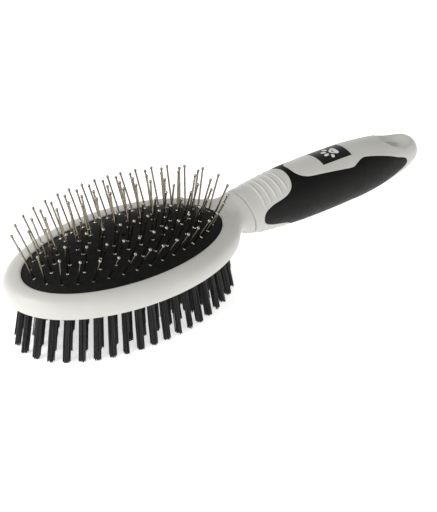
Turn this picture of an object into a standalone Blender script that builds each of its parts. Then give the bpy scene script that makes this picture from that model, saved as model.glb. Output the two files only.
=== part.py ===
"""A double-sided grooming brush: wire pins on a rubber cushion on top, nylon bristle tufts below."""

import math

import bmesh
import bpy
from mathutils import Matrix, Vector

# Driving dimensions, in metres. The head is centred on the origin, the handle runs along +X
# and the bristle tips stand on the plane z = 0.
GAP = 0.0003  # left between pieces that touch

OPENING_X, OPENING_Y = 0.0482, 0.0264  # half axes of the oval that shows the cushion
# The frame's outside, from its underside round to its top, as (grown past the opening, height).
FRAME_PROFILE = (
    (0.0050, 0.0230),
    (0.0067, 0.0232),
    (0.0078, 0.0243),
    (0.0082, 0.0260),
    (0.0082, 0.0279),
    (0.0077, 0.0297),
    (0.0065, 0.0311),
    (0.0046, 0.0320),
    (0.0008, 0.0323),
)
CAVITY_GROW = 0.0030  # the frame's cavity, larger than its opening
CAVITY_TOP = 0.0312  # underside of the lip that holds the cushion
CUT_LOW, CUT_HIGH = 0.010, 0.045  # heights below and above the whole head
MOUTH_LOW = 0.025  # a height inside the cavity
OVAL_SIDES = 36

CUSHION_EDGE = 0.0314  # height at which the cushion leaves the lip
CUSHION_DOME = 0.0062  # how far its middle stands above that
CUSHION_SKIN = 0.0012
DOME_POWER = 2.4
FLANGE_TOP, FLANGE_LOW = 0.0309, 0.0298
VENT_RADIUS = 0.0011
DOME_INSETS = (0.0003, 0.0035, 0.0085, 0.0150, 0.0240)

DIVIDER_TOP, DIVIDER_LOW = 0.0291, 0.0276
BRISTLE_PLATE_TOP, BRISTLE_PLATE_LOW = 0.0262, 0.0236

PIN_RADIUS = 0.00040
PIN_BALL_RADIUS = 0.00075
PIN_LENGTH = 0.0180  # from the cushion to the tip
PIN_ROOT = 0.0023  # how far the pin's head lies under the cushion's face
PIN_HEAD_RADIUS = 0.0007
PIN_LEAN_X, PIN_LEAN_Y = 0.40, 0.85  # slope of a pin at the opening's end and at its side
PIN_LEAN_X_POWER, PIN_LEAN_Y_POWER = 2.0, 0.85  # how the slope grows from the middle to there
PIN_SIDES = 4
PIN_SLIP = 0.33  # how far the pins along the sides slip towards the handle, in pitches
# name, half axes of the oval that the pins stand on, number of pins, first pin in pitches
PIN_OVALS = (
    ("outer", 0.0445, 0.0210, 34, 0.0),
    ("second", 0.0388, 0.0158, 28, 0.5),
    ("third", 0.0343, 0.0096, 24, 0.0),
    ("inner", 0.0245, 0.0046, 16, 0.5),
)

TUFT_RADIUS = 0.0016
TUFT_SPLAY_X, TUFT_SPLAY_Y = 1.099, 1.137  # the tufts' pattern at the tips over that at the plate
TUFT_ROOT = 0.0269
TUFT_STRIP_RADIUS = 0.0005
TUFT_SIDES = 4
# name, half axes of the oval at the plate, number of tufts, first tuft and slip in pitches
TUFT_OVALS = (
    ("outer", 0.0476, 0.0256, 41, 0.66, 0.2),
    ("second", 0.0406, 0.0186, 32, 0.1, 0.0),
    ("third", 0.0336, 0.0116, 24, 0.875, 0.0),
)
TUFT_ROW_COUNT, TUFT_ROW_PITCH = 9, 0.0066

SEAM_X = 0.0622  # where the head's neck ends
HANDLE_START = SEAM_X + GAP
AXIS_Z = 0.0265
SEAM_TILT, SEAM_FADE = 0.22, 0.0045  # how the seam leans, and how far to each side of it that is felt
HANDLE_FLATNESS = 0.94  # the handle's thickness over its width
# The handle's half width along its length, up to the round end.
HANDLE_STATIONS = (
    (HANDLE_START, 0.0113),
    (0.0690, 0.0119),
    (0.0800, 0.0132),
    (0.0900, 0.0141),
    (0.1050, 0.0144),
    (0.1200, 0.0143),
    (0.1300, 0.0139),
    (0.1400, 0.0129),
    (0.1500, 0.0114),
    (0.1600, 0.0090),
)
HANDLE_END = 0.1685
END_FLAT = 0.0010
HANDLE_SIDES = 22
# x, half width, half height and middle height of the neck's sections
NECK_SECTIONS = (
    (0.0490, 0.0154, 0.0036, 0.0278),
    (0.0530, 0.0130, 0.0050, 0.0277),
    (0.0554, 0.0119, 0.0068, 0.0275),
    (0.0580, 0.0114, 0.0087, 0.0271),
    (SEAM_X, 0.0112, 0.0105, AXIS_Z),
)
TANG_RADIUS, TANG_END = 0.0055, 0.0760

SLEEVE_WALL = 0.0015
WINDOW_MARGIN = 0.0180  # half width of a window's prism where the light plastic goes all round
# Edges of the light areas in plan, as (x, half width), from the neck backwards.
THUMB_EDGE = (
    (0.0671, 0.0119),
    (0.0690, 0.0113),
    (0.0729, 0.0110),
    (0.0775, 0.0110),
    (0.0813, 0.0106),
    (0.0842, 0.0092),
    (0.0857, 0.0066),
    (0.0864, 0.0030),
)
INLAY_EDGE = (
    (0.0899, 0.0025),
    (0.0910, 0.0053),
    (0.0938, 0.0075),
    (0.0983, 0.0086),
    (0.1150, 0.0105),
    (0.1203, 0.0108),
    (0.1234, 0.0099),
    (0.1267, 0.0089),
    (0.1297, 0.0087),
    (0.1386, 0.0098),
    (0.1480, 0.0106),
    (0.1542, 0.0104),
)

HOLE_X = 0.1540
# Height from the handle's axis, half length and half width of the hanging hole.
HOLE_SECTIONS = (
    (-0.0130, 0.0108, 0.0076),
    (-0.0085, 0.0080, 0.0056),
    (-0.0040, 0.0052, 0.0036),
    (0.0040, 0.0052, 0.0036),
    (0.0085, 0.0080, 0.0056),
    (0.0130, 0.0108, 0.0076),
)

BADGE_START, BADGE_END, BADGE_HALF_WIDTH = 0.1058, 0.1228, 0.0060
BADGE_DEPTH, BADGE_PROUD = 0.0009, 0.0001
BADGE_CORNER = 0.0008
BADGE_CUT_FROM, BADGE_CUT_HEIGHT = 0.004, 0.020  # from above the axis to above the handle
PRISM_LOW, PRISM_HEIGHT = -0.02, 0.10  # from below the handle to above it

LIGHT_PLASTIC = ("light_plastic", (0.78, 0.77, 0.75), 0.42, 0.0)
INNER_PLASTIC = ("inner_plastic", (0.55, 0.55, 0.54), 0.5, 0.0)
PAD_RUBBER = ("pad_rubber", (0.02, 0.02, 0.02), 0.7, 0.0)
GRIP_RUBBER = ("grip_rubber", (0.025, 0.025, 0.025), 0.6, 0.0)
DARK_PLASTIC = ("dark_plastic", (0.03, 0.03, 0.032), 0.5, 0.0)
NYLON = ("nylon_bristle", (0.04, 0.042, 0.045), 0.5, 0.0)
PIN_WIRE = ("pin_wire", (0.72, 0.66, 0.52), 0.25, 1.0)
BADGE_ENAMEL = ("badge_enamel", (0.012, 0.012, 0.012), 0.3, 0.0)


def clear_scene():
    for obj in list(bpy.data.objects):
        bpy.data.objects.remove(obj, do_unlink=True)


def make_collection(name):
    collection = bpy.data.collections.new(name)
    bpy.context.scene.collection.children.link(collection)
    return collection


def make_material(name, colour, roughness, metallic):
    material = bpy.data.materials.get(name)
    if material is None:
        material = bpy.data.materials.new(name)
        material.use_nodes = True
        shader = material.node_tree.nodes["Principled BSDF"]
        shader.inputs["Base Color"].default_value = (*colour, 1.0)
        shader.inputs["Roughness"].default_value = roughness
        shader.inputs["Metallic"].default_value = metallic
    return material


def add_object(name, bm, finish=None):
    """Makes an object from a bmesh: a part with a finish, or a cutter without one."""
    bmesh.ops.recalc_face_normals(bm, faces=bm.faces)
    mesh = bpy.data.meshes.new(name)
    bm.to_mesh(mesh)
    bm.free()
    obj = bpy.data.objects.new(name, mesh)
    if finish is None:
        CUTTERS.objects.link(obj)
        obj.hide_render = True
        obj.display_type = "WIRE"
    else:
        mesh.materials.append(make_material(*finish))
        mesh.shade_smooth()
        mesh.set_sharp_from_angle(angle=math.radians(35))
        BRUSH.objects.link(obj)
    return obj


def boolean(target, tool, operation):
    modifier = target.modifiers.new(f"{operation.lower()} {tool.name}", "BOOLEAN")
    modifier.operation = operation
    modifier.solver = "EXACT"
    modifier.object = tool


def add_ring(bm, centre, axis_u, axis_v, half_u, half_v, sides):
    """Adds the corners of an ellipse and returns them in order."""
    ring = []
    for step in range(sides):
        turn = 2 * math.pi * step / sides
        place = centre + axis_u * (half_u * math.cos(turn)) + axis_v * (half_v * math.sin(turn))
        ring.append(bm.verts.new(place))
    return ring


def loft(bm, rings):
    """Joins each ring of corners to the next, corner to corner, and caps the first and the last."""
    for lower, upper in zip(rings, rings[1:]):
        for step in range(len(lower)):
            bm.faces.new((lower[step - 1], lower[step], upper[step], upper[step - 1]))
    bm.faces.new(rings[0])
    bm.faces.new(rings[-1])


def oval_stack(levels, sides=OVAL_SIDES):
    """A solid from ovals (grown past the opening, height), each bridged to the next."""
    bm = bmesh.new()
    rings = [
        add_ring(
            bm, Vector((0, 0, height)), Vector((1, 0, 0)), Vector((0, 1, 0)),
            OPENING_X + grow, OPENING_Y + grow, sides,
        )
        for grow, height in levels
    ]
    loft(bm, rings)
    return bm


def inset_at(x, y):
    """How far inside the opening's edge a point lies, counted in shrunken ovals."""
    low, high = -0.005, OPENING_Y - 1e-5
    for _ in range(40):
        middle = (low + high) / 2
        inside = (x / (OPENING_X - middle)) ** 2 + (y / (OPENING_Y - middle)) ** 2 < 1
        low, high = (middle, high) if inside else (low, middle)
    return low


def dome_height(inset):
    share = 1 - min(max(inset, 0.0), OPENING_Y) / OPENING_Y
    return CUSHION_EDGE + CUSHION_DOME * (1 - share**DOME_POWER)


def spaced_on_oval(half_x, half_y, count, first, slip=0.0):
    """Points at equal distances round an oval, slipped towards +X along its sides."""
    fine = 2000
    places = [
        Vector((half_x * math.cos(2 * math.pi * k / fine), half_y * math.sin(2 * math.pi * k / fine)))
        for k in range(fine + 1)
    ]
    travelled = [0.0]
    for before, after in zip(places, places[1:]):
        travelled.append(travelled[-1] + (after - before).length)
    found = []
    k = 0
    for index in range(count):
        lag = slip * math.sin(2 * math.pi * (index + first) / count)
        wanted = (index + first - lag) * travelled[-1] / count
        while travelled[k + 1] < wanted:
            k += 1
        found.append(places[k])
    return found


def add_turned(bm, profile, sides, place):
    """Adds a turned solid, given as (radius, height) from its foot to its tip."""
    rings = [
        add_ring(bm, place @ Vector((0, 0, height)), place.to_3x3() @ Vector((1, 0, 0)),
                 place.to_3x3() @ Vector((0, 1, 0)), radius, radius, sides)
        for radius, height in profile
    ]
    loft(bm, rings)


def strip_through(name, points, radius):
    """A thin wire through the points, as a mesh, to join what stands on them."""
    curve = bpy.data.curves.new(name, "CURVE")
    curve.dimensions = "3D"
    curve.bevel_depth = radius
    curve.bevel_resolution = 0
    curve.use_fill_caps = True
    spline = curve.splines.new("POLY")
    spline.points.add(len(points) - 1)
    for point, place in zip(spline.points, points):
        point.co = (*place, 1.0)
    guide = bpy.data.objects.new(name + "_curve", curve)
    CUTTERS.objects.link(guide)
    bpy.context.view_layer.update()
    mesh = bpy.data.meshes.new_from_object(guide.evaluated_get(bpy.context.evaluated_depsgraph_get()))
    bpy.data.objects.remove(guide, do_unlink=True)
    bm = bmesh.new()
    bm.from_mesh(mesh)
    bpy.data.meshes.remove(mesh)
    bmesh.ops.remove_doubles(bm, verts=bm.verts, dist=1e-6)
    return add_object(name, bm)


def halves(places):
    """Splits a ring of places, which starts at +X, into its back half (+Y) and its front half."""
    middle = len(places) // 2
    return (("back", places[:middle]), ("front", places[middle:]))


# Head frame, with the neck and the tang that goes into the handle


def tilt_seam(bm):
    """Shears what lies near the seam, so that the seam leans."""
    for vert in bm.verts:
        share = max(1 - abs(vert.co.x - SEAM_X) / SEAM_FADE, 0.0)
        vert.co.x -= SEAM_TILT * share * (vert.co.z - AXIS_Z)


def build_head_frame():
    frame = add_object("head_frame", oval_stack(FRAME_PROFILE), LIGHT_PLASTIC)
    bm = bmesh.new()
    rings = [
        add_ring(bm, Vector((x, 0, z)), Vector((0, 1, 0)), Vector((0, 0, 1)), half_y, half_z, HANDLE_SIDES)
        for x, half_y, half_z, z in NECK_SECTIONS
    ]
    loft(bm, rings)
    tilt_seam(bm)
    boolean(frame, add_object("neck", bm), "UNION")
    bm = bmesh.new()
    length = TANG_END - NECK_SECTIONS[-2][0]
    middle = Vector((TANG_END - length / 2, 0, AXIS_Z))
    bmesh.ops.create_cone(
        bm, cap_ends=True, segments=16, radius1=TANG_RADIUS, radius2=TANG_RADIUS, depth=length,
        matrix=Matrix.Translation(middle) @ Matrix.Rotation(math.pi / 2, 4, "Y"),
    )
    boolean(frame, add_object("tang", bm), "UNION")
    cavity = oval_stack(((CAVITY_GROW, CUT_LOW), (CAVITY_GROW, CAVITY_TOP)))
    boolean(frame, add_object("head_cavity", cavity), "DIFFERENCE")
    mouth = oval_stack(((0.0, MOUTH_LOW), (0.0, CUT_HIGH)))
    boolean(frame, add_object("head_mouth", mouth), "DIFFERENCE")


# Rubber cushion and what lies under it


def pin_places(half_x, half_y, count, first):
    """The place and the lean of each pin on an oval, as matrices with Z along the pin."""
    found = []
    for spot in spaced_on_oval(half_x, half_y, count, first, PIN_SLIP):
        foot = Vector((spot.x, spot.y, dome_height(inset_at(spot.x, spot.y))))
        slope_x = math.copysign(PIN_LEAN_X * abs(spot.x / OPENING_X) ** PIN_LEAN_X_POWER, spot.x)
        slope_y = math.copysign(PIN_LEAN_Y * abs(spot.y / OPENING_Y) ** PIN_LEAN_Y_POWER, spot.y)
        lean = Vector((slope_x, slope_y, 1.0))
        turn = Vector((0, 0, 1)).rotation_difference(lean.normalized())
        found.append(Matrix.Translation(foot) @ turn.to_matrix().to_4x4())
    return found


def build_cushion():
    flange = CAVITY_GROW - GAP
    levels = [(-inset, dome_height(inset)) for inset in reversed(DOME_INSETS)]
    levels += [(-DOME_INSETS[0], FLANGE_TOP), (flange, FLANGE_TOP), (flange, FLANGE_LOW)]
    levels += [(-DOME_INSETS[0] - CUSHION_SKIN, FLANGE_LOW)]
    levels += [(-inset - CUSHION_SKIN / 2, dome_height(inset) - CUSHION_SKIN) for inset in DOME_INSETS[1:]]
    cushion = add_object("pin_cushion", oval_stack(levels), PAD_RUBBER)
    bm = bmesh.new()
    hole = ((PIN_RADIUS + GAP, -PIN_ROOT), (PIN_RADIUS + GAP, PIN_ROOT))
    for _, half_x, half_y, count, first in PIN_OVALS:
        for place in pin_places(half_x, half_y, count, first):
            add_turned(bm, hole, PIN_SIDES, place)
    vent = ((VENT_RADIUS, DIVIDER_TOP), (VENT_RADIUS, CUSHION_EDGE + 2 * CUSHION_DOME))
    add_turned(bm, vent, 10, Matrix.Identity(4))
    boolean(cushion, add_object("pin_holes", bm), "DIFFERENCE")


def build_pins():
    ball_top = PIN_LENGTH
    shaft_top = ball_top - 1.7 * PIN_BALL_RADIUS
    pin = (
        (PIN_RADIUS, -PIN_ROOT),
        (PIN_RADIUS, shaft_top),
        (PIN_BALL_RADIUS, ball_top - PIN_BALL_RADIUS),
        (0.4 * PIN_BALL_RADIUS, ball_top),
    )
    for oval, half_x, half_y, count, first in PIN_OVALS:
        for side, places in halves(pin_places(half_x, half_y, count, first)):
            bm = bmesh.new()
            for place in places:
                add_turned(bm, pin, PIN_SIDES, place)
            pins = add_object(f"pins_{oval}_{side}", bm, PIN_WIRE)
            heads = [place @ Vector((0, 0, -PIN_ROOT)) for place in places]
            strip = strip_through(f"pin_heads_{oval}_{side}", heads, PIN_HEAD_RADIUS)
            boolean(pins, strip, "UNION")


def build_divider():
    grow = CAVITY_GROW - GAP
    divider = oval_stack(((grow, DIVIDER_LOW), (grow, DIVIDER_TOP)))
    add_object("divider_plate", divider, INNER_PLASTIC)


# Bristle side


def tuft_rows():
    """Each row of tufts by name, as places on the plane of the bristle plate's underside."""
    rows = []
    for oval, half_x, half_y, count, first, slip in TUFT_OVALS:
        for side, places in halves(spaced_on_oval(half_x, half_y, count, first, slip)):
            rows.append((f"tufts_{oval}_{side}", places))
    middle = (TUFT_ROW_COUNT - 1) / 2
    rows.append(("tufts_centre_row", [
        Vector(((k - middle) * TUFT_ROW_PITCH, 0)) for k in range(TUFT_ROW_COUNT)
    ]))
    return rows


def tuft_centre(spot, height):
    """Where a tuft's middle lies at a height: the tufts splay evenly from the plate to the tips."""
    share = 1 - height / BRISTLE_PLATE_LOW
    wide_x = 1 + (TUFT_SPLAY_X - 1) * share
    wide_y = 1 + (TUFT_SPLAY_Y - 1) * share
    return Vector((spot.x * wide_x, spot.y * wide_y, height))


def add_tuft(bm, spot, radius, low, high):
    rings = [
        add_ring(bm, tuft_centre(spot, height), Vector((1, 0, 0)), Vector((0, 1, 0)),
                 radius, radius, TUFT_SIDES)
        for height in (low, high)
    ]
    loft(bm, rings)


def build_tufts():
    for name, places in tuft_rows():
        bm = bmesh.new()
        for spot in places:
            add_tuft(bm, spot, TUFT_RADIUS, 0.0, TUFT_ROOT)
        tufts = add_object(name, bm, NYLON)
        roots = [tuft_centre(spot, TUFT_ROOT) for spot in places]
        strip = strip_through(name + "_anchor", roots, TUFT_STRIP_RADIUS)
        boolean(tufts, strip, "UNION")


def build_bristle_plate():
    grow = CAVITY_GROW - GAP
    plate = oval_stack(((grow, BRISTLE_PLATE_LOW), (grow, BRISTLE_PLATE_TOP)))
    plate = add_object("bristle_plate", plate, DARK_PLASTIC)
    bm = bmesh.new()
    for _, places in tuft_rows():
        for spot in places:
            add_tuft(bm, spot, TUFT_RADIUS + GAP, BRISTLE_PLATE_LOW - 0.002, BRISTLE_PLATE_TOP + 0.002)
    boolean(plate, add_object("tuft_holes", bm), "DIFFERENCE")


# Handle


def smooth_through(points, steps):
    """A Catmull-Rom curve through points of any size, ends included."""
    points = [Vector(point) for point in points]
    ends = [2 * points[0] - points[1], *points, 2 * points[-1] - points[-2]]
    curve = []
    for a, b, c, d in zip(ends, ends[1:], ends[2:], ends[3:]):
        for step in range(steps):
            t = step / steps
            curve.append(
                0.5 * ((2 * b) + (c - a) * t + (2 * a - 5 * b + 4 * c - d) * t**2
                       + (3 * b - a - 3 * c + d) * t**3)
            )
    return [*curve, points[-1]]


def handle_profile(inset):
    """Half widths along the handle, drawn in by an inset, with an elliptical round end."""
    profile = [(point.x, point.y - inset) for point in smooth_through(HANDLE_STATIONS, 2)]
    start, radius = HANDLE_STATIONS[-1]
    reach = HANDLE_END - start
    for step in range(1, 6):
        turn = math.pi / 2 * step / 6
        profile.append((start + (reach - inset) * math.sin(turn), (radius - inset) * math.cos(turn)))
    profile.append((start + reach - inset, END_FLAT))
    return profile


def turned_handle(name, inset, start=HANDLE_START, finish=None):
    """The handle's outside as a solid, a little smaller all over by the inset."""
    bm = bmesh.new()
    profile = handle_profile(inset)
    profile[0] = (start, profile[0][1])
    rings = [
        add_ring(bm, Vector((x, 0, AXIS_Z)), Vector((0, 1, 0)), Vector((0, 0, 1)),
                 half, half * HANDLE_FLATNESS, HANDLE_SIDES)
        for x, half in profile
    ]
    loft(bm, rings)
    tilt_seam(bm)
    return add_object(name, bm, finish)


def plan_prism(bm, outline):
    """Adds an upright prism over an outline in plan."""
    verts = [bm.verts.new((x, y, PRISM_LOW)) for x, y in outline]
    face = bm.faces.new(verts)
    raised = bmesh.ops.extrude_face_region(bm, geom=[face])
    top = [item for item in raised["geom"] if isinstance(item, bmesh.types.BMVert)]
    bmesh.ops.translate(bm, verts=top, vec=(0, 0, PRISM_HEIGHT))


def windows(name, grow):
    """The light areas of the handle as prisms: the thumb rest, and the inlay with the end cap."""
    bm = bmesh.new()
    edge = [(point.x + grow, point.y + grow) for point in smooth_through(THUMB_EDGE, 2)]
    start = HANDLE_START - 0.01
    side = [(start, WINDOW_MARGIN), (edge[0][0], WINDOW_MARGIN), *edge]
    plan_prism(bm, side + [(x, -y) for x, y in reversed(side)])
    edge = [(point.x - grow, point.y + grow) for point in smooth_through(INLAY_EDGE, 2)]
    far = HANDLE_END + 0.01
    side = [*edge, (edge[-1][0] + 0.0018, WINDOW_MARGIN), (far, WINDOW_MARGIN)]
    plan_prism(bm, side + [(x, -y) for x, y in reversed(side)])
    return add_object(name, bm)


def badge_block(name, grow):
    """An upright block over the badge, above the handle's axis."""
    bm = bmesh.new()
    middle = Vector(((BADGE_START + BADGE_END) / 2, 0, AXIS_Z + BADGE_CUT_FROM + BADGE_CUT_HEIGHT / 2))
    size = Vector((BADGE_END - BADGE_START + 2 * grow, 2 * (BADGE_HALF_WIDTH + grow), BADGE_CUT_HEIGHT))
    matrix = Matrix.Translation(middle) @ Matrix.Diagonal((*size, 1.0))
    bmesh.ops.create_cube(bm, size=1.0, matrix=matrix)
    corners = [
        edge for edge in bm.edges
        if abs((edge.verts[0].co - edge.verts[1].co).z) > BADGE_CUT_HEIGHT / 2
    ]
    bmesh.ops.bevel(
        bm, geom=corners, offset=BADGE_CORNER + grow, segments=2, profile=0.5, affect="EDGES", material=-1
    )
    return add_object(name, bm)


def build_grip_sleeve():
    sleeve = turned_handle("grip_sleeve", 0.0, finish=GRIP_RUBBER)
    boolean(sleeve, turned_handle("sleeve_inside", SLEEVE_WALL, start=HANDLE_START - 0.005), "DIFFERENCE")
    boolean(sleeve, windows("sleeve_windows", GAP), "DIFFERENCE")


def build_handle_core():
    core = turned_handle(
        "handle_core", SLEEVE_WALL + GAP, start=HANDLE_START + 0.0006, finish=LIGHT_PLASTIC
    )
    raised = turned_handle("raised_areas", 0.0)
    boolean(raised, windows("light_windows", 0.0), "INTERSECT")
    boolean(core, raised, "UNION")
    socket = bmesh.new()
    depth = TANG_END + 2 * GAP - HANDLE_START + 0.005
    middle = Vector((HANDLE_START - 0.005 + depth / 2, 0, AXIS_Z))
    bmesh.ops.create_cone(
        socket, cap_ends=True, segments=16, radius1=TANG_RADIUS + GAP, radius2=TANG_RADIUS + GAP,
        depth=depth, matrix=Matrix.Translation(middle) @ Matrix.Rotation(math.pi / 2, 4, "Y"),
    )
    boolean(core, add_object("tang_socket", socket), "DIFFERENCE")
    hole = bmesh.new()
    rings = [
        add_ring(hole, Vector((HOLE_X, 0, AXIS_Z + height)), Vector((1, 0, 0)), Vector((0, 1, 0)),
                 half_x, half_y, 20)
        for height, half_x, half_y in HOLE_SECTIONS
    ]
    loft(hole, rings)
    boolean(core, add_object("hanging_hole", hole), "DIFFERENCE")
    recess = badge_block("badge_recess", GAP)
    boolean(recess, turned_handle("recess_floor", BADGE_DEPTH + GAP), "DIFFERENCE")
    boolean(core, recess, "DIFFERENCE")


def build_badge():
    badge = turned_handle("badge_plate", -BADGE_PROUD, finish=BADGE_ENAMEL)
    boolean(badge, badge_block("badge_outline", 0.0), "INTERSECT")
    boolean(badge, turned_handle("badge_back", BADGE_DEPTH), "DIFFERENCE")


clear_scene()
BRUSH = make_collection("double_sided_brush")
CUTTERS = make_collection("cutters")
build_head_frame()
build_cushion()
build_pins()
build_divider()
build_tufts()
build_bristle_plate()
build_grip_sleeve()
build_handle_core()
build_badge()
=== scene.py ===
import bisect
import math
import random

import bmesh
import bpy
from mathutils import Matrix, Vector


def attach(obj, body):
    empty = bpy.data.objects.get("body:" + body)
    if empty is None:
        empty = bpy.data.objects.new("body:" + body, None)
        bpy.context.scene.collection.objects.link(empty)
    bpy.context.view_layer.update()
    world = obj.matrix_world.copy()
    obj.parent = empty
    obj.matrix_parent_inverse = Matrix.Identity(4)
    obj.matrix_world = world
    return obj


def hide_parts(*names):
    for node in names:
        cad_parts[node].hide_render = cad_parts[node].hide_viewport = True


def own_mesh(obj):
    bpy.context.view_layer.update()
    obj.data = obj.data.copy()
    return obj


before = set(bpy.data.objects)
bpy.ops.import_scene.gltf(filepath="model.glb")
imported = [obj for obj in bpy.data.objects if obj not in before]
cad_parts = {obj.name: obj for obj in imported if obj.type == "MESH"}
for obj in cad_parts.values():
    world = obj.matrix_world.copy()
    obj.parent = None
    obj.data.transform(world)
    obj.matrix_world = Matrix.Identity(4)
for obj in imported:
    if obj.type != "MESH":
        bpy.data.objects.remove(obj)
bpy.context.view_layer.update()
scene = bpy.context.scene
scene.view_settings.view_transform = "Standard"

# Sizes are metres. The head's middle is the origin, the handle runs along +X and the
# bristle tips stand on z = 0.
opening = {"x": 0.0482, "y": 0.0264}  # half axes of the oval in the head
weldWithin = 2e-6


# Shared tools

def smoothThrough(points, steps):
    # a soft curve through the points, ends included
    points = [Vector(point) for point in points]
    ends = [2 * points[0] - points[1], *points, 2 * points[-1] - points[-2]]
    curve = []
    for a, b, c, d in zip(ends, ends[1:], ends[2:], ends[3:]):
        for step in range(steps):
            t = step / steps
            curve.append(0.5 * ((2 * b) + (c - a) * t + (2 * a - 5 * b + 4 * c - d) * t**2
                                + (3 * b - a - 3 * c + d) * t**3))
    return [*curve, points[-1]]


def readTable(table, x):
    # second value of a table of (x, value) at x, ends held
    k = bisect.bisect_left([point[0] for point in table], x)
    if k == 0:
        return table[0][1]
    if k == len(table):
        return table[-1][1]
    (x0, y0), (x1, y1) = table[k - 1], table[k]
    return y0 + (y1 - y0) * (x - x0) / max(x1 - x0, 1e-9)


def ease(value):
    value = min(max(value, 0.0), 1.0)
    return value * value * (3 - 2 * value)


def growthAt(x, y):
    # how far outside the opening's oval a point lies, negative inside
    low, high = -opening["y"] + 1e-5, 0.03  # from nearly the middle line to well past the rim
    for _ in range(34):  # halvings
        middle = (low + high) / 2
        outside = (x / (opening["x"] + middle)) ** 2 + (y / (opening["y"] + middle)) ** 2 > 1
        low, high = (middle, high) if outside else (low, middle)
    return low


def spacedOnOval(halfX, halfY, count, first, slip=0.0):
    # points at equal distances round an oval, the first one that many pitches on from +X;
    # those along the sides can be slipped towards +X by a share of the pitch
    fine = 2000
    turns = [2 * math.pi * k / fine for k in range(fine + 1)]
    places = [Vector((halfX * math.cos(turn), halfY * math.sin(turn))) for turn in turns]
    travelled = [0.0]
    for before, after in zip(places, places[1:]):
        travelled.append(travelled[-1] + (after - before).length)
    found = []
    for k in range(count):
        slipped = slip * math.sin(2 * math.pi * (k + first) / count)
        found.append(places[bisect.bisect_left(travelled, (k + first - slipped) * travelled[-1] / count)])
    return found


def shapedGrid(columns, rows, place):
    # a flat grid whose corners are moved to place(column, row), then welded where they meet
    bm = bmesh.new()
    bmesh.ops.create_grid(bm, x_segments=columns, y_segments=rows, size=0.5)
    for corner in bm.verts:
        corner.co = place(round((corner.co.x + 0.5) * columns), round((corner.co.y + 0.5) * rows))
    bmesh.ops.remove_doubles(bm, verts=bm.verts, dist=weldWithin)
    bmesh.ops.dissolve_degenerate(bm, edges=bm.edges, dist=weldWithin / 2)
    return bm


def nextLoop(bm, edges, move):
    # draws a loop of edges on, and puts each new corner where move(old place) says
    made = bmesh.ops.extrude_edge_only(bm, edges=edges)["geom"]
    for corner in [item for item in made if isinstance(item, bmesh.types.BMVert)]:
        corner.co = move(corner.co)
    return [item for item in made if isinstance(item, bmesh.types.BMEdge) and item.is_boundary]


def ovalWall(levels, sides):
    # ovals one above the other, as (grown past the opening, height), closed at both ends
    bm = bmesh.new()
    bmesh.ops.create_circle(bm, segments=sides, radius=1.0)
    grow, height = levels[0]
    for corner in bm.verts:
        corner.co = (corner.co.x * (opening["x"] + grow), corner.co.y * (opening["y"] + grow), height)
    edges = first = bm.edges[:]
    for (was, _), (grow, height) in zip(levels, levels[1:]):
        widerX = (opening["x"] + grow) / (opening["x"] + was)
        widerY = (opening["y"] + grow) / (opening["y"] + was)
        edges = nextLoop(bm, edges, lambda at: Vector((at.x * widerX, at.y * widerY, height)))
    bmesh.ops.edgeloop_fill(bm, edges=first)
    bmesh.ops.edgeloop_fill(bm, edges=edges)
    return bm


def stamp(bm, master, place):
    # adds a copy of a small mesh at a place
    start = len(bm.verts)
    bm.from_mesh(master)
    bm.verts.ensure_lookup_table()
    bmesh.ops.transform(bm, matrix=place, verts=bm.verts[start:])


def asMesh(name, bm):
    bmesh.ops.recalc_face_normals(bm, faces=bm.faces)
    mesh = bpy.data.meshes.new(name)
    bm.to_mesh(mesh)
    bm.free()
    return mesh


def addPiece(name, mesh, body, finishes, nodes=(), sharp=40):
    for finish in finishes:
        mesh.materials.append(finish)
    mesh.shade_smooth()
    mesh.set_sharp_from_angle(angle=math.radians(sharp))
    piece = bpy.data.objects.new(name, mesh)
    scene.collection.objects.link(piece)
    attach(piece, body)
    if nodes:
        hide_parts(*nodes)
    return piece


def cutAway(mesh, cutterMesh):
    # a mesh with another one cut out of it
    solid = bpy.data.objects.new("solid", mesh)
    cutter = bpy.data.objects.new("cutter", cutterMesh)
    scene.collection.objects.link(solid)
    scene.collection.objects.link(cutter)
    cut = solid.modifiers.new("cut", "BOOLEAN")
    cut.operation, cut.solver, cut.object = "DIFFERENCE", "EXACT", cutter
    bpy.context.view_layer.update()
    left = bpy.data.meshes.new_from_object(solid.evaluated_get(bpy.context.evaluated_depsgraph_get()))
    left.name = mesh.name
    for helper in (solid, cutter):
        bpy.data.objects.remove(helper, do_unlink=True)
    return left


# Finishes

variation = {
    "patchDetail": 4.0, "patchFrom": 0.32, "patchTo": 0.68,
    "glossScale": 2.7,  # times the look's patchScale
    "glossDetail": 2.0, "glossFrom": 0.3, "glossTo": 0.7,
    "grainDetail": 3.0,
}


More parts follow.
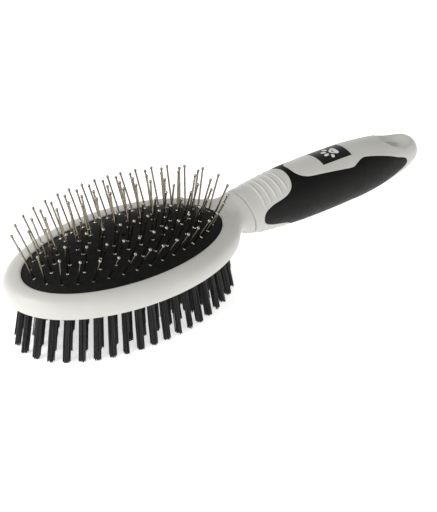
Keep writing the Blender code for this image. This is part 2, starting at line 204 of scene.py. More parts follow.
def makeFinish(name, look):
    # a finish with patchy colour, uneven roughness and a fine grain, all on Object coordinates
    finish = bpy.data.materials.new(name)
    finish.use_nodes = True
    nodes, links = finish.node_tree.nodes, finish.node_tree.links
    shader = nodes["Principled BSDF"]
    for socket, value in look["shader"].items():
        shader.inputs[socket].default_value = value
    where = nodes.new("ShaderNodeTexCoord")
    stretch = nodes.new("ShaderNodeMapping")
    stretch.inputs["Scale"].default_value = look.get("stretch", (1.0, 1.0, 1.0))
    links.new(where.outputs["Object"], stretch.inputs["Vector"])

    def noise(scale, detail):
        made = nodes.new("ShaderNodeTexNoise")
        made.inputs["Scale"].default_value = scale
        made.inputs["Detail"].default_value = detail
        links.new(stretch.outputs["Vector"], made.inputs["Vector"])
        return made.outputs["Fac"]

    tones = nodes.new("ShaderNodeValToRGB")
    darkEnd, lightEnd = tones.color_ramp.elements
    darkEnd.position, lightEnd.position = variation["patchFrom"], variation["patchTo"]
    darkEnd.color, lightEnd.color = (*look["dark"], 1.0), (*look["light"], 1.0)
    links.new(noise(look["patchScale"], variation["patchDetail"]), tones.inputs["Fac"])
    links.new(tones.outputs["Color"], shader.inputs["Base Color"])

    gloss = nodes.new("ShaderNodeMapRange")
    gloss.inputs["From Min"].default_value = variation["glossFrom"]
    gloss.inputs["From Max"].default_value = variation["glossTo"]
    gloss.inputs["To Min"].default_value, gloss.inputs["To Max"].default_value = look["roughness"]
    uneven = noise(look["patchScale"] * variation["glossScale"], variation["glossDetail"])
    links.new(uneven, gloss.inputs["Value"])
    links.new(gloss.outputs["Result"], shader.inputs["Roughness"])

    bump = nodes.new("ShaderNodeBump")
    bump.inputs["Strength"].default_value = look["grainStrength"]
    bump.inputs["Distance"].default_value = look["grainHeight"]
    links.new(noise(look["grainScale"], variation["grainDetail"]), bump.inputs["Height"])
    links.new(bump.outputs["Normal"], shader.inputs["Normal"])
    return finish


looks = {
    "satinPlastic": {
        "dark": (0.575, 0.568, 0.535), "light": (0.62, 0.613, 0.578), "patchScale": 45.0,
        "roughness": (0.34, 0.44), "grainScale": 3200.0, "grainStrength": 0.25, "grainHeight": 0.00004,
        "shader": {"Specular IOR Level": 0.45},
    },
    "innerPlastic": {
        "dark": (0.30, 0.30, 0.29), "light": (0.38, 0.38, 0.37), "patchScale": 90.0,
        "roughness": (0.45, 0.6), "grainScale": 2500.0, "grainStrength": 0.3, "grainHeight": 0.00005,
        "shader": {"Specular IOR Level": 0.4},
    },
    "padRubber": {
        "dark": (0.0030, 0.0029, 0.0027), "light": (0.0075, 0.0074, 0.0069), "patchScale": 420.0,
        "roughness": (0.6, 0.8), "grainScale": 2600.0, "grainStrength": 0.5, "grainHeight": 0.00007,
        "shader": {"Specular IOR Level": 0.18},
    },
    "gripRubber": {
        "dark": (0.0020, 0.0020, 0.0018), "light": (0.0038, 0.0037, 0.0035), "patchScale": 160.0,
        "roughness": (0.44, 0.56), "grainScale": 3000.0, "grainStrength": 0.45, "grainHeight": 0.00006,
        "shader": {"Specular IOR Level": 0.20},
    },
    "blackPlate": {
        "dark": (0.012, 0.012, 0.012), "light": (0.020, 0.020, 0.020), "patchScale": 150.0,
        "roughness": (0.4, 0.55), "grainScale": 2600.0, "grainStrength": 0.3, "grainHeight": 0.00005,
        "shader": {"Specular IOR Level": 0.45},
    },
    "nylon": {
        "dark": (0.006, 0.006, 0.0062), "light": (0.024, 0.024, 0.024), "patchScale": 1500.0,
        "stretch": (1.0, 1.0, 0.03), "roughness": (0.32, 0.5), "grainScale": 4200.0,
        "grainStrength": 0.2, "grainHeight": 0.00003, "shader": {"Specular IOR Level": 0.32},
    },
    "nylonTip": {
        "dark": (0.045, 0.045, 0.047), "light": (0.10, 0.10, 0.10), "patchScale": 1500.0,
        "roughness": (0.5, 0.7), "grainScale": 4200.0, "grainStrength": 0.2, "grainHeight": 0.00003,
        "shader": {"Specular IOR Level": 0.4},
    },
    "pinWire": {
        "dark": (0.22, 0.195, 0.15), "light": (0.39, 0.35, 0.28), "patchScale": 900.0,
        "stretch": (1.0, 1.0, 0.25), "roughness": (0.12, 0.22), "grainScale": 5200.0,
        "grainStrength": 0.25, "grainHeight": 0.00002, "shader": {"Metallic": 1.0},
    },
    "pinTip": {
        "dark": (0.27, 0.26, 0.23), "light": (0.43, 0.41, 0.37), "patchScale": 900.0,
        "roughness": (0.10, 0.18), "grainScale": 4200.0, "grainStrength": 0.15, "grainHeight": 0.00002,
        "shader": {"Metallic": 1.0},
    },
    "badgeBlack": {
        "dark": (0.004, 0.004, 0.004), "light": (0.008, 0.008, 0.0078), "patchScale": 260.0,
        "roughness": (0.3, 0.4), "grainScale": 3400.0, "grainStrength": 0.2, "grainHeight": 0.00003,
        "shader": {"Specular IOR Level": 0.4},
    },
    "badgeWhite": {
        "dark": (0.70, 0.70, 0.68), "light": (0.80, 0.80, 0.78), "patchScale": 300.0,
        "roughness": (0.35, 0.5), "grainScale": 3400.0, "grainStrength": 0.2, "grainHeight": 0.00003,
        "shader": {"Specular IOR Level": 0.4},
    },
}
finishes = {name: makeFinish(name, look) for name, look in looks.items()}
print("finishes ready")


# Head frame: the oval rim, drawn out at its end into the neck

rim = {
    "profile": (  # (grown past the opening, height), from the lip over the outside to the underside
        (0.0000, 0.0316), (0.0006, 0.0322), (0.0022, 0.0323), (0.0046, 0.0320), (0.0066, 0.0312),
        (0.0078, 0.0298), (0.0083, 0.0279), (0.0083, 0.0260), (0.0079, 0.0242), (0.0068, 0.0231),
        (0.0050, 0.0230), (0.0034, 0.0231), (0.0030, 0.0236), (0.0030, 0.0308), (0.0026, 0.0312),
        (0.0003, 0.0312),
    ),
    "sides": 72,
    "neckSegments": 5,  # rim faces to each side of the middle that open into the neck
    "neckOval": 0.0100,  # counted on an oval grown by this
    "neckFrom": 0.0046,  # and how far out on the rim they start
    "neckMiddle": 0.0275,
    "neck": (  # (x, half width, half height, middle height) up to the seam
        (0.0546, 0.0120, 0.0062, 0.0275),
        (0.0574, 0.0114, 0.0082, 0.0271),
        (0.0602, 0.0112, 0.0098, 0.0267),
        (0.0618, 0.0112, 0.0104, 0.0265),
        (0.0623, 0.0112, 0.0103, 0.0265),
        (0.0624, 0.0108, 0.0100, 0.0265),
        (0.0624, 0.0080, 0.0070, 0.0265),
    ),
    "seamTilt": 0.22, "tiltFrom": 0.0560, "tiltTo": 0.0620,
    "smoothing": 2,
}


def buildHeadFrame():
    profile = rim["profile"]

    def place(column, row):
        turn = 2 * math.pi * (column % rim["sides"]) / rim["sides"]
        grow, height = profile[row % len(profile)]
        halfX, halfY = opening["x"] + grow, opening["y"] + grow
        return Vector((halfX * math.cos(turn), halfY * math.sin(turn), height))

    bm = shapedGrid(rim["sides"], len(profile), place)
    reach = 2 * math.pi * rim["neckSegments"] / rim["sides"]
    ovalX, ovalY = opening["x"] + rim["neckOval"], opening["y"] + rim["neckOval"]
    mouth = []
    for face in bm.faces:
        at = face.calc_center_median()
        turn = math.atan2(at.y / ovalY, at.x / ovalX)
        if abs(turn) < reach and growthAt(at.x, at.y) > rim["neckFrom"]:
            mouth.append(face)
    bmesh.ops.delete(bm, geom=mouth, context="FACES")
    edges = [edge for edge in bm.edges if edge.is_boundary]
    corners = {corner for edge in edges for corner in edge.verts}
    # middle height, half height and half width of the loop that is drawn on next
    middle = rim["neckMiddle"]
    tall = max(corner.co.z for corner in corners) - middle
    wide = max(abs(corner.co.y) for corner in corners)
    for x, halfY, halfZ, z in rim["neck"]:
        tilt = rim["seamTilt"] * ease((x - rim["tiltFrom"]) / (rim["tiltTo"] - rim["tiltFrom"]))

        def move(at):
            turn = math.atan2((at.z - middle) / tall, at.y / wide)
            up = halfZ * math.sin(turn)
            return Vector((x - tilt * up, halfY * math.cos(turn), z + up))

        edges = nextLoop(bm, edges, move)
        middle, tall, wide = z, halfZ, halfY
    bmesh.ops.edgeloop_fill(bm, edges=edges)
    piece = addPiece("head_frame_shell", asMesh("head_frame_shell", bm), "brush_body",
                     [finishes["satinPlastic"]], ["head_frame"], sharp=180)
    soft = piece.modifiers.new("soft", "SUBSURF")
    soft.levels = soft.render_levels = rim["smoothing"]
    print("head frame ready")


# Rubber cushion

cushion = {
    "edge": 0.0314, "dome": 0.0062, "power": 2.4,
    # how far in from the opening the rings of the upper face lie, and those of the underside
    "topInsets": (0.0253, 0.0235, 0.021, 0.018, 0.015, 0.012, 0.0095,
                  0.007, 0.005, 0.0032, 0.0018, 0.0008, 0.0002),
    "underInsets": (0.0032, 0.009, 0.018, 0.0245),
    "middleGap": 0.00035,  # from the innermost ring to the middle line
    "rimRings": ((-0.0001, 0.0312), (0.0027, 0.0309), (0.0027, 0.0298), (-0.0015, 0.0298)),
    "skin": 0.0012, "skinInset": 0.0015,  # the rubber's thickness, upwards and sideways
    "ventRadius": 0.0013, "ventDepth": 0.0008,  # a dimple, not cut through
    "ventFoot": 0.8, "ventMouth": 1.15, "ventCutter": 0.002,
    "sides": 96, "ventSides": 24, "pressed": 0.003,
}


def domeHeight(inset):
    share = 1 - min(max(inset, 0.0), opening["y"]) / opening["y"]
    return cushion["edge"] + cushion["dome"] * (1 - share ** cushion["power"])


def buildCushion():
    insets = (opening["y"] - cushion["middleGap"], *cushion["topInsets"])
    levels = [(-inset, domeHeight(inset)) for inset in insets]
    levels += cushion["rimRings"]
    for inset in cushion["underInsets"]:
        levels.append((-inset - cushion["skinInset"], domeHeight(inset) - cushion["skin"]))
    bm = ovalWall(levels, cushion["sides"])
    bm.normal_update()
    mesh = asMesh("cushion_dome", bm)
    vent = bmesh.new()
    bottom = cushion["edge"] + cushion["dome"] - cushion["ventDepth"]
    bmesh.ops.create_cone(vent, cap_ends=True, segments=cushion["ventSides"],
                          radius1=cushion["ventRadius"] * cushion["ventFoot"],
                          radius2=cushion["ventRadius"] * cushion["ventMouth"], depth=cushion["ventCutter"],
                          matrix=Matrix.Translation((0, 0, bottom + cushion["ventCutter"] / 2)))
    mesh = cutAway(mesh, asMesh("vent", vent))
    piece = addPiece("cushion_dome", mesh, "brush_body",
                     [finishes["padRubber"]], ["pin_cushion"])
    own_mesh(piece)
    print("cushion ready")


# Wire pins with ball tips

pins = {
    "radius": 0.00043, "ball": 0.00072, "length": 0.0180, "root": 0.0020,
    "leanX": 0.40, "leanY": 0.85,  # slope at the opening's end and at its side
    "leanXPower": 2.0, "leanYPower": 0.85,
    "slip": 0.33,  # how far the pins along the sides slip towards the handle, in pitches
    "collarRadius": 0.00100, "collarHeight": 0.00050,
    "collarTaper": 0.72, "collarLift": 0.0001,  # top radius over the foot's, and its middle above the rubber
    "jitter": 0.022,  # of the slope, either way
    "sides": 8, "ballRings": 6, "collarSides": 12,
    "ovals": (  # name, half axes, number of pins, where the first one stands
        ("outer", 0.0445, 0.0210, 34, 0.0), ("second", 0.0388, 0.0158, 28, 0.5),
        ("third", 0.0343, 0.0096, 24, 0.0), ("inner", 0.0245, 0.0046, 16, 0.5),
    ),
}


def paint(made, index):
    # gives a new shape's faces one of the piece's finishes
    for face in {face for corner in made["verts"] for face in corner.link_faces}:
        face.material_index = index


def pinMaster():
    bm = bmesh.new()
    length = pins["length"] - pins["ball"] + pins["root"]
    made = bmesh.ops.create_cone(bm, cap_ends=True, segments=pins["sides"],
                                 radius1=pins["radius"], radius2=pins["radius"], depth=length,
                                 matrix=Matrix.Translation((0, 0, length / 2 - pins["root"])))
    paint(made, 0)
    made = bmesh.ops.create_uvsphere(bm, u_segments=pins["sides"], v_segments=pins["ballRings"],
                                     radius=pins["ball"],
                                     matrix=Matrix.Translation((0, 0, pins["length"] - pins["ball"])))
    paint(made, 1)
    return asMesh("pin", bm)


def collarMaster():
    # a small metal ring round the foot of a pin, with rubber showing inside it
    bm = bmesh.new()
    made = bmesh.ops.create_cone(bm, cap_ends=True, segments=pins["collarSides"],
                                 radius1=pins["collarRadius"],
                                 radius2=pins["collarRadius"] * pins["collarTaper"],
                                 depth=pins["collarHeight"],
                                 matrix=Matrix.Translation((0, 0, pins["collarLift"])))
    paint(made, 1)
    top = max(bm.faces, key=lambda face: face.calc_center_median().z)
    top.material_index = 2
    return asMesh("collar", bm)


def surfaceNormal(x, y):
    # which way the rubber faces, from its heights a small step to each side
    step = 0.0004
    slopeX = (domeHeight(-growthAt(x + step, y)) - domeHeight(-growthAt(x - step, y))) / (2 * step)
    slopeY = (domeHeight(-growthAt(x, y + step)) - domeHeight(-growthAt(x, y - step))) / (2 * step)
    return Vector((-slopeX, -slopeY, 1.0)).normalized()


def leanAt(spot):
    # pins lean outwards, more towards the rim
    slopes = []
    for share, slope, power in ((spot.x / opening["x"], pins["leanX"], pins["leanXPower"]),
                                (spot.y / opening["y"], pins["leanY"], pins["leanYPower"])):
        slopes.append(math.copysign(slope * abs(share) ** power, share))
    return Vector((*slopes, 1.0))


def buildPins():
    pin, collar = pinMaster(), collarMaster()
    chance = random.Random(11)
    for oval, halfX, halfY, count, first in pins["ovals"]:
        spots = spacedOnOval(halfX, halfY, count, first, pins["slip"])
        for side, group in (("back", spots[:count // 2]), ("front", spots[count // 2:])):
            bm = bmesh.new()
            for spot in group:
                foot = Vector((spot.x, spot.y, domeHeight(-growthAt(spot.x, spot.y))))
                shaken = [chance.uniform(-1, 1) * pins["jitter"] for _ in "xy"]
                lean = leanAt(spot) + Vector((*shaken, 0.0))
                up = Vector((0, 0, 1))
                turn = up.rotation_difference(lean.normalized()).to_matrix().to_4x4()
                stamp(bm, pin, Matrix.Translation(foot) @ turn)
                turn = up.rotation_difference(surfaceNormal(spot.x, spot.y)).to_matrix().to_4x4()
                stamp(bm, collar, Matrix.Translation(foot) @ turn)
            name = f"pins_{oval}_{side}"
            addPiece(name + "_wires", asMesh(name + "_wires", bm), f"{oval}_pins",
                     [finishes["pinWire"], finishes["pinTip"], finishes["padRubber"]], [name], sharp=50)
    print("pins ready")


# Bristle side: the plate and the tufts of nylon

tufts = {
    "radius": 0.00150, "filaments": 58, "thick": 0.00018, "plateLow": 0.0236,
    "rootDepth": 0.0014,  # how far the filaments reach up into the plate
    "spiralStep": 2.39996,  # radians from one filament to the next round the bunch
    "flare": 1.06, "tipSpread": 0.00010, "bendSpread": 0.00009, "bendAt": -0.1, "filamentTurn": 1.5,
    # a tuft's tip stands further from the middle than its root, by this share of the root's distance
    "splayX": 0.099, "splayY": 0.137,
    # filament lengths are shares of the full one, and some tufts are worn short down one side
    "longest": 0.998, "lengthSpread": 0.020,
    "shortShare": 0.30, "shortFrom": 0.52, "shortTo": 0.86, "shortSpread": 0.03,
    "variants": 10,
    "ovals": (  # name, half axes, number of tufts, where the first one stands, slip
        ("outer", 0.0476, 0.0256, 41, 0.66, 0.2), ("second", 0.0406, 0.0186, 32, 0.1, 0.0),
        ("third", 0.0336, 0.0116, 24, 0.875, 0.0),
    ),
    "rowCount": 9, "rowPitch": 0.0066,
}
bristlePlate = {
    "levels": ((0.0022, 0.0236), (0.0027, 0.0239), (0.0027, 0.0258), (0.0024, 0.0262)),
    "holeRadius": 0.00178, "countersink": 0.00215,
    "cutterHeight": 0.0010, "cutterLift": 0.0001,  # its middle above the plate's lower face
    "sides": 96, "holeSides": 16,
}


def tuftMaster(chance, stepped):
    # filaments packed in a round bunch, hanging from z = 0, some of them worn short
    bm = bmesh.new()
    full, radius = tufts["plateLow"], tufts["radius"]
    side = chance.uniform(0, 2 * math.pi)
    wornTo = chance.uniform(tufts["shortFrom"], tufts["shortTo"])
    for k in range(tufts["filaments"]):
        turn, out = k * tufts["spiralStep"], radius * math.sqrt((k + 0.5) / tufts["filaments"])
        root = Vector((out * math.cos(turn), out * math.sin(turn), tufts["rootDepth"]))
        share = 1 - abs(chance.gauss(0, tufts["lengthSpread"]))
        across = root.x * math.cos(side) + root.y * math.sin(side)
        if stepped and across > radius * (1 - 2 * tufts["shortShare"]):
            share = wornTo - abs(chance.gauss(0, tufts["shortSpread"]))
        length = full * min(share, tufts["longest"])
        tip = Vector((root.x * tufts["flare"] + chance.gauss(0, tufts["tipSpread"]),
                      root.y * tufts["flare"] + chance.gauss(0, tufts["tipSpread"]), -length))
        turned = Matrix.Rotation(chance.uniform(0, tufts["filamentTurn"]), 4, "Z")
        made = bmesh.ops.create_cone(bm, cap_ends=True, segments=4, radius1=tufts["thick"],
                                     radius2=tufts["thick"], depth=1.0, matrix=turned)["verts"]
        whole = list({item for corner in made for item in (corner, *corner.link_edges, *corner.link_faces)})
        cut = bmesh.ops.bisect_plane(bm, geom=whole, dist=1e-6, plane_co=(0, 0, tufts["bendAt"]),
                                     plane_no=(0, 0, 1))["geom_cut"]
        bend = Vector((chance.gauss(0, tufts["bendSpread"]), chance.gauss(0, tufts["bendSpread"]), 0))
        between = [item for item in cut if isinstance(item, bmesh.types.BMVert)]
        for corner in [*made, *between]:
            down = 0.5 - corner.co.z
            at = root.lerp(tip, down) + Vector((corner.co.x, corner.co.y, 0))
            corner.co = at + bend * (4 * down * (1 - down))
        for face in {face for corner in made for face in corner.link_faces}:
            if len(face.verts) == 4 and all(abs(corner.co.z - tip.z) < 1e-6 for corner in face.verts):
                face.material_index = 1
    return asMesh("tuft", bm)


def tuftRows():
    rows = []
    for oval, halfX, halfY, count, first, slip in tufts["ovals"]:
        spots = spacedOnOval(halfX, halfY, count, first, slip)
        rows += [(f"tufts_{oval}_back", spots[:count // 2]), (f"tufts_{oval}_front", spots[count // 2:])]
    middle = (tufts["rowCount"] - 1) / 2
    spots = [Vector(((k - middle) * tufts["rowPitch"], 0)) for k in range(tufts["rowCount"])]
    return [*rows, ("tufts_centre_row", spots)]


def buildTufts():
    chance = random.Random(5)
    masters = [tuftMaster(chance, stepped=k % 2 == 0) for k in range(tufts["variants"])]
    for name, spots in tuftRows():
        bm = bmesh.new()
        for spot in spots:
            splay = Matrix.Identity(4)
            splay[0][2] = -tufts["splayX"] * spot.x / tufts["plateLow"]
            splay[1][2] = -tufts["splayY"] * spot.y / tufts["plateLow"]
            turned = Matrix.Rotation(chance.uniform(0, 2 * math.pi), 4, "Z")
            place = Matrix.Translation((spot.x, spot.y, tufts["plateLow"])) @ splay @ turned
            stamp(bm, chance.choice(masters), place)
        mesh = bpy.data.meshes.new(name + "_nylon")
        bm.to_mesh(mesh)
        bm.free()
        addPiece(name + "_nylon", mesh, "brush_body",
                 [finishes["nylon"], finishes["nylonTip"]], [name], sharp=60)
    print("tufts ready")


def buildBristlePlate():
    mesh = asMesh("bristle_plate_face", ovalWall(bristlePlate["levels"], bristlePlate["sides"]))
    height = tufts["plateLow"] + bristlePlate["cutterLift"]
    holes = bmesh.new()
    for _, spots in tuftRows():
        for spot in spots:
            bmesh.ops.create_cone(holes, cap_ends=True, segments=bristlePlate["holeSides"],
                                  radius1=bristlePlate["countersink"], radius2=bristlePlate["holeRadius"],
                                  depth=bristlePlate["cutterHeight"],
                                  matrix=Matrix.Translation((spot.x, spot.y, height)))
    mesh = cutAway(mesh, asMesh("holes", holes))
    addPiece("bristle_plate_face", mesh, "brush_body",
             [finishes["blackPlate"]], ["bristle_plate"])
    print("bristle plate ready")


# Handle: a light core with thumb rest, inlay and end cap, and the black grip round it

handle = {
    "axisZ": 0.0265, "flatness": 0.94,
    "halfWidths": (  # (x, half width) from the seam to the round end
        (0.0625, 0.0113), (0.0690, 0.0119), (0.0800, 0.0132), (0.0900, 0.0141), (0.1050, 0.0144),
        (0.1200, 0.0143), (0.1300, 0.0139), (0.1400, 0.0129), (0.1500, 0.0114), (0.1560, 0.0102),
        (0.1605, 0.0088), (0.1640, 0.0073), (0.1664, 0.0055), (0.1679, 0.0032), (0.1685, 0.0000),
    ),
    # half widths of the light areas in plan, from the neck backwards
    "thumbEdge": (
        (0.06675, 0.01178), (0.0675, 0.0116), (0.0690, 0.0113), (0.0729, 0.0110), (0.0775, 0.0110),
        (0.0813, 0.0106), (0.0842, 0.0092), (0.0857, 0.0066), (0.0864, 0.0034), (0.0866, 0.0000),
    ),
    "inlayEdge": (
        (0.08970, 0.00000), (0.09000, 0.00260), (0.09100, 0.00530), (0.09380, 0.00750), (0.09830, 0.00860),
        (0.11500, 0.01050), (0.12030, 0.01080), (0.12340, 0.00990), (0.12670, 0.00890), (0.12970, 0.00870),
        (0.13860, 0.00980), (0.14800, 0.01060), (0.15420, 0.01040), (0.15600, 0.01040),
    ),
    "wall": 0.0015, "edgeRound": 0.0003, "smallestHalf": 0.002,
    # the core's end at the seam, as (distance from it, depth under the surface); a depth of
    # a metre closes it on the axis
    "seamEnd": ((0.0, 1.0), (0.0, 0.0012), (0.0, 0.0005), (0.0001, 0.0002), (0.0003, 0.00004)),
    "columnsFrom": 0.0005, "fineStep": 0.00026, "fineTo": 0.086, "wideStep": 0.0007,
    "shallowEdge": 0.00004, "deepEdge": 0.00016, "stepDepth": 0.0006,  # down to the grip's floor
    "gripGap": 0.00012, "gripSink": 0.00004, "gripRound": 0.00022, "gripLift": 0.00005, "gripEnds": 0.0004,
    "lightRows": 18, "gripRows": 20, "sleeveRows": 32,
    "ribs": 5, "firstRib": 0.0684, "ribPitch": 0.00335, "ribHeight": 0.00042, "ribWidth": 0.00085,
    "ribLowest": 0.12, "ribMargin": 0.10, "ribFade": 0.22,  # angles round the handle, in radians
    "dishX": 0.1540, "dishHalfX": 0.0104, "dishHalfY": 0.0083, "dishDepth": 0.0058, "dishPower": 1.3,
    "throatX": 0.0044, "throatY": 0.0028, "throatSides": 56, "throatCutter": 0.04,
    "seamFade": 0.0045,
}
halfTable = [tuple(point) for point in smoothThrough(handle["halfWidths"], 16)]
thumbTable = [tuple(point) for point in smoothThrough(handle["thumbEdge"], 16)]
inlayTable = [tuple(point) for point in smoothThrough(handle["inlayEdge"], 16)]


def halfAt(x):
    return max(readTable(halfTable, x), 0.0)


def gripAngle(x):
    # the grip covers each side from minus this angle to plus it
    if x <= thumbTable[0][0] or x >= inlayTable[-1][0]:
        return 0.0
    if thumbTable[-1][0] <= x <= inlayTable[0][0]:
        return math.pi / 2
    edge = readTable(thumbTable if x < thumbTable[-1][0] else inlayTable, x)
    return math.acos(min(max(edge / halfAt(x), 0.0), 1.0))


def onHandle(x, angle, sink, side):
    half = max(halfAt(x) - sink, 0.0)
    up = half * handle["flatness"] * math.sin(angle)
    tilt = rim["seamTilt"] * (1 - ease((x - handle["halfWidths"][0][0]) / handle["seamFade"]))
    return Vector((x - tilt * up, side * half * math.cos(angle), handle["axisZ"] + up))


def handleColumns(start, end):
    # places along the handle, closer at the thumb rest, along the edges and round the end
    curves = (thumbTable[::2], inlayTable[::2], halfTable[-90::3])
    found = {round(point[0], 6) for table in curves for point in table}
    x = start
    while x < end:
        found.add(round(x, 6))
        x += handle["fineStep"] if x < handle["fineTo"] else handle["wideStep"]
    return sorted(x for x in found if start < x < end)


def ribLift(x, angle):
    lift = 0.0
    for k in range(handle["ribs"]):
        away = abs(x - handle["firstRib"] - k * handle["ribPitch"]) / handle["ribWidth"]
        lift += handle["ribHeight"] * ease(1 - away)
    edge = max(gripAngle(x), handle["ribLowest"])
    return lift * ease((abs(angle) - edge - handle["ribMargin"]) / handle["ribFade"])


def dishDrop(place):
    away = ((place.x - handle["dishX"]) / handle["dishHalfX"]) ** 2 + (place.y / handle["dishHalfY"]) ** 2
    return handle["dishDepth"] * (1 - away) ** handle["dishPower"] if away < 1 else 0.0


def buildCore():
    wall, rounded = handle["wall"], handle["edgeRound"]
    lightRows, gripRows = handle["lightRows"], handle["gripRows"]
    start, end = handle["halfWidths"][0][0], handle["halfWidths"][-1][0]
    columns = [(start + away, sink) for away, sink in handle["seamEnd"]]
    columns += [(x, 0.0) for x in handleColumns(start + handle["columnsFrom"], end)]
    columns.append((end, 1.0))
    # rows down one side: light plastic, step, floor under the grip, step, light plastic
    shallow, deep, step = handle["shallowEdge"], handle["deepEdge"], handle["stepDepth"]
    rows = [("light", 1, k / lightRows) for k in range(lightRows)]
    rows += [("edge", 1, shallow), ("edge", 1, deep), ("step", 1, step)]
    rows += [("floor", 0, 1 - 2 * k / gripRows) for k in range(gripRows + 1)]
    rows += [("step", -1, step), ("edge", -1, deep), ("edge", -1, shallow)]
    rows += [("light", -1, 1 - (k + 1) / lightRows) for k in range(lightRows)]
    last = len(rows) - 1

    def place(column, row):
        x, sink = columns[column]
        side = -1 if row <= last else 1
        kind, way, value = rows[row if row <= last else 2 * last - row]
        edge = gripAngle(x)
        covered = edge > 0
        margin = rounded / max(halfAt(x), handle["smallestHalf"])
        if edge > math.pi / 2 - 1e-4:
            return onHandle(x, edge * value if kind == "floor" else way * edge, wall + sink, side)
        if kind == "floor":
            return onHandle(x, edge * value, sink + (wall if covered else 0.0), side)
        if kind == "step":
            return onHandle(x, way * edge, sink + (value if covered else 0.0), side)
        if kind == "edge":
            near = margin if value == shallow else 0.0
            return onHandle(x, way * min(edge + near, math.pi / 2), sink + (value if covered else 0.0), side)
        top = min(edge + 2 * margin, math.pi / 2)
        angle = way * (math.pi / 2 - (math.pi / 2 - top) * value)
        at = onHandle(x, angle, sink - ribLift(x, angle) * (sink == 0.0), side)
        at.z -= way * dishDrop(at)
        return at

    bm = shapedGrid(len(columns) - 1, 2 * last, place)
    mesh = asMesh("handle_core_body", bm)
    throat = bmesh.new()
    bmesh.ops.create_cone(throat, cap_ends=True, segments=handle["throatSides"], radius1=1.0, radius2=1.0,
                          depth=handle["throatCutter"],
                          matrix=Matrix.Translation((handle["dishX"], 0, handle["axisZ"]))
                          @ Matrix.Diagonal((handle["throatX"], handle["throatY"], 1.0, 1.0)))
    mesh = cutAway(mesh, asMesh("throat", throat))
    addPiece("handle_core_body", mesh, "brush_body",
             [finishes["satinPlastic"]], ["handle_core"], sharp=48)
    print("handle core ready")


def buildGrip():
    gap, rounded = handle["gripGap"], handle["edgeRound"]
    outerRows = handle["sleeveRows"]
    first, final = thumbTable[0][0] + handle["gripEnds"], inlayTable[-1][0] - handle["gripEnds"]
    columns = [first, *handleColumns(first, final), final]
    # rows of one side's section: outside from the lower edge up, then inside back down
    rows = [("outer", 2 * k / outerRows - 1) for k in range(outerRows + 1)]
    rows += [("inner", 1 - 2 * k / outerRows) for k in range(outerRows + 1)]
    bm = bmesh.new()
    for side in (-1, 1):
        def place(column, row):
            x = columns[column]
            kind, share = rows[row % len(rows)]
            edge = gripAngle(x)
            half = halfAt(x)
            if edge < math.pi / 2 - 1e-4:
                edge = max(edge - gap / half, 0.0)
            if column in (0, len(columns) - 1):
                edge = 0.0
            angle = edge * share
            if kind == "inner":
                return onHandle(x, angle, handle["wall"] - handle["gripLift"], side)
            near = (edge - abs(angle)) * half / rounded
            drop = 0.0 if edge > math.pi / 2 - 1e-4 else handle["gripRound"] * (1 - min(near, 1.0)) ** 2
            return onHandle(x, angle, handle["gripSink"] + drop, side)

        half = shapedGrid(len(columns) - 1, len(rows), place)
        mesh = bpy.data.meshes.new("half")
        half.to_mesh(mesh)
        half.free()
        bm.from_mesh(mesh)
        bpy.data.meshes.remove(mesh)
    inside = [face for face in bm.faces if all(abs(corner.co.y) < 1e-6 for corner in face.verts)]
    bmesh.ops.delete(bm, geom=inside, context="FACES")
    bmesh.ops.remove_doubles(bm, verts=bm.verts, dist=weldWithin)
    addPiece("grip_sleeve_rubber", asMesh("grip_sleeve_rubber", bm), "brush_body",
             [finishes["gripRubber"]], ["grip_sleeve"], sharp=50)
    print("grip ready")


# Badge: a black plaque on the inlay with a plain paw print

badge = {
    "from": 0.1058, "to": 0.1228, "halfWidth": 0.0060, "thick": 0.0004, "proud": 0.00012,
    "columns": 24, "rows": 18, "printSides": 36,
    "printProud": 0.00010, "printSunk": 0.0001, "printRim": 0.0002, "printMiddle": 0.1150,
    # toes as (x, y, half length, half width, turn in degrees), seen from above
    "toes": ((-0.0012, -0.0031, 0.00125, 0.00082, 62), (-0.0034, -0.0012, 0.00140, 0.00086, 12),
             (-0.0034, 0.0012, 0.00140, 0.00086, -12), (-0.0012, 0.0031, 0.00125, 0.00082, -62)),
    "heel": (0.0016, 0.0, 0.0021, 0.0025), "heelLobes": 0.16,
}


def raisedOnHandle(at, lift):
    half = halfAt(at.x)
    return Vector((at.x, at.y, handle["axisZ"] + handle["flatness"] * math.sqrt(half**2 - at.y**2) + lift))


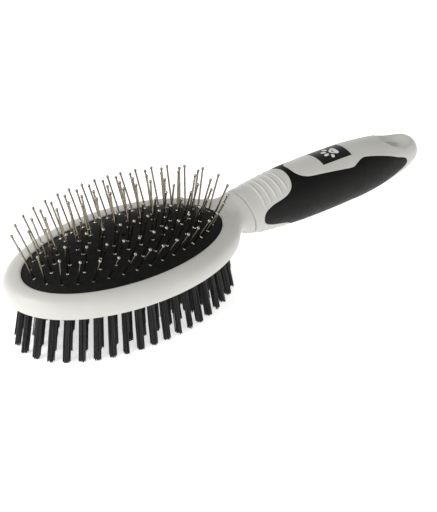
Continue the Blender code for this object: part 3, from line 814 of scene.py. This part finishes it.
def buildBadge():
    middle = (badge["from"] + badge["to"]) / 2
    long, wide = badge["to"] - badge["from"], 2 * badge["halfWidth"]
    bm = bmesh.new()
    bmesh.ops.create_grid(bm, x_segments=badge["columns"], y_segments=badge["rows"], size=0.5)
    for corner in bm.verts:
        spot = Vector((middle + corner.co.x * long, corner.co.y * wide, 0))
        corner.co = raisedOnHandle(spot, badge["proud"])
    drawn = bmesh.ops.extrude_face_region(bm, geom=bm.faces[:])["geom"]
    lowered = [item for item in drawn if isinstance(item, bmesh.types.BMVert)]
    bmesh.ops.translate(bm, vec=(0, 0, -badge["thick"]), verts=lowered)
    addPiece("badge_plaque", asMesh("badge_plaque", bm), "brush_body",
             [finishes["badgeBlack"]], ["badge_plate"], sharp=30)

    bm = bmesh.new()
    shapes = [(x, y, long, wide, math.radians(turn), 0.0) for x, y, long, wide, turn in badge["toes"]]
    shapes.append((*badge["heel"], 0.0, badge["heelLobes"]))
    for x, y, long, wide, turn, lobes in shapes:
        flat = bmesh.new()
        bmesh.ops.create_circle(flat, cap_ends=True, segments=badge["printSides"], radius=1.0)
        for corner in flat.verts:
            bulge = 1 + lobes * math.cos(3 * math.atan2(corner.co.y, corner.co.x) + math.pi)
            spot = Vector((corner.co.x * long * bulge, corner.co.y * wide * bulge, 0))
            spot.rotate(Matrix.Rotation(turn, 3, "Z"))
            corner.co = spot + Vector((badge["printMiddle"] + x, y, 0))
        bmesh.ops.inset_region(flat, faces=flat.faces[:], thickness=badge["printRim"], depth=0.0)
        top = bmesh.ops.extrude_face_region(flat, geom=flat.faces[:])["geom"]
        raised = {item for item in top if isinstance(item, bmesh.types.BMVert)}
        for corner in flat.verts:
            lift = badge["proud"] + (badge["printProud"] if corner in raised else -badge["printSunk"])
            corner.co = raisedOnHandle(corner.co, lift)
        mesh = bpy.data.meshes.new("mark")
        flat.to_mesh(mesh)
        flat.free()
        bm.from_mesh(mesh)
        bpy.data.meshes.remove(mesh)
    addPiece("badge_paw_print", asMesh("badge_paw_print", bm), "brush_body",
             [finishes["badgeWhite"]], sharp=40)
    print("badge ready")


# Studio: pale floor, soft light all round, and the camera

studio = {
    "floorSize": 6.0, "floorDrop": 0.0002,
    "floorTone": (0.93, 0.93, 0.92), "floorRoughness": 0.9, "floorGlow": 0.66,
    "zenith": (0.15, 0.155, 0.155), "horizon": (1.0, 0.99, 0.97),
    "horizonTo": 0.05, "zenithFrom": 0.60,
    "target": Vector((0.0500, 0.0, 0.0077)), "azimuth": -36.93, "elevation": 32.64,
    "distance": 0.634, "lens": 98.44, "sensor": 36.0, "clip": (0.01, 20.0),
    # name, azimuth and elevation it shines from, distance, size, watts
    "lamps": (
        ("key", -100, 42, 0.65, 0.45, 2.9), ("fill", 0, 22, 1.4, 1.2, 2.3), ("top", 10, 70, 0.9, 0.7, 1.1),
    ),
}


def fromDirection(azimuth, elevation):
    a, e = math.radians(azimuth), math.radians(elevation)
    return Vector((math.sin(a) * math.cos(e), -math.cos(a) * math.cos(e), math.sin(e)))


def aimed(name, data, azimuth, elevation, distance):
    # a lamp or the camera, turned towards the target from that far away
    way = fromDirection(azimuth, elevation)
    holder = bpy.data.objects.new(name, data)
    holder.location = studio["target"] + way * distance
    holder.rotation_mode = "QUATERNION"
    holder.rotation_quaternion = (-way).to_track_quat("-Z", "Y")
    scene.collection.objects.link(holder)
    return holder


def buildStudio():
    bm = bmesh.new()
    bmesh.ops.create_grid(bm, x_segments=1, y_segments=1, size=studio["floorSize"] / 2)
    bmesh.ops.translate(bm, vec=(0, 0, -studio["floorDrop"]), verts=bm.verts)
    mesh = asMesh("floor", bm)
    floorFinish = bpy.data.materials.new("floorPaper")
    floorFinish.use_nodes = True
    shader = floorFinish.node_tree.nodes["Principled BSDF"]
    shader.inputs["Base Color"].default_value = (*studio["floorTone"], 1.0)
    shader.inputs["Roughness"].default_value = studio["floorRoughness"]
    shader.inputs["Emission Color"].default_value = (1.0, 1.0, 1.0, 1.0)
    shader.inputs["Emission Strength"].default_value = studio["floorGlow"]
    mesh.materials.append(floorFinish)
    floor = bpy.data.objects.new("floor", mesh)
    scene.collection.objects.link(floor)

    world = bpy.data.worlds.new("studioLight")
    scene.world = world
    world.use_nodes = True
    nodes, links = world.node_tree.nodes, world.node_tree.links
    where = nodes.new("ShaderNodeTexCoord")
    parts = nodes.new("ShaderNodeSeparateXYZ")
    ramp = nodes.new("ShaderNodeValToRGB")
    ramp.color_ramp.elements[0].position = studio["horizonTo"]
    ramp.color_ramp.elements[1].position = studio["zenithFrom"]
    ramp.color_ramp.elements[0].color = (*studio["horizon"], 1.0)
    ramp.color_ramp.elements[1].color = (*studio["zenith"], 1.0)
    links.new(where.outputs["Generated"], parts.inputs["Vector"])
    links.new(parts.outputs["Z"], ramp.inputs["Fac"])
    links.new(ramp.outputs["Color"], nodes["Background"].inputs["Color"])

    for name, azimuth, elevation, distance, size, watts in studio["lamps"]:
        lamp = bpy.data.lights.new(name, "AREA")
        lamp.size, lamp.energy = size, watts
        aimed(name, lamp, azimuth, elevation, distance)

    camera = bpy.data.cameras.new("camera")
    camera.lens, camera.sensor_width = studio["lens"], studio["sensor"]
    camera.clip_start, camera.clip_end = studio["clip"]
    scene.camera = aimed("camera", camera, studio["azimuth"], studio["elevation"], studio["distance"])
    print("studio ready")


buildStudio()
buildHeadFrame()
buildCushion()
buildPins()
buildBristlePlate()
buildTufts()
buildCore()
buildGrip()
buildBadge()

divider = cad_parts["divider_plate"]
divider.data.materials.clear()
divider.data.materials.append(finishes["innerPlastic"])

print("all pieces ready")
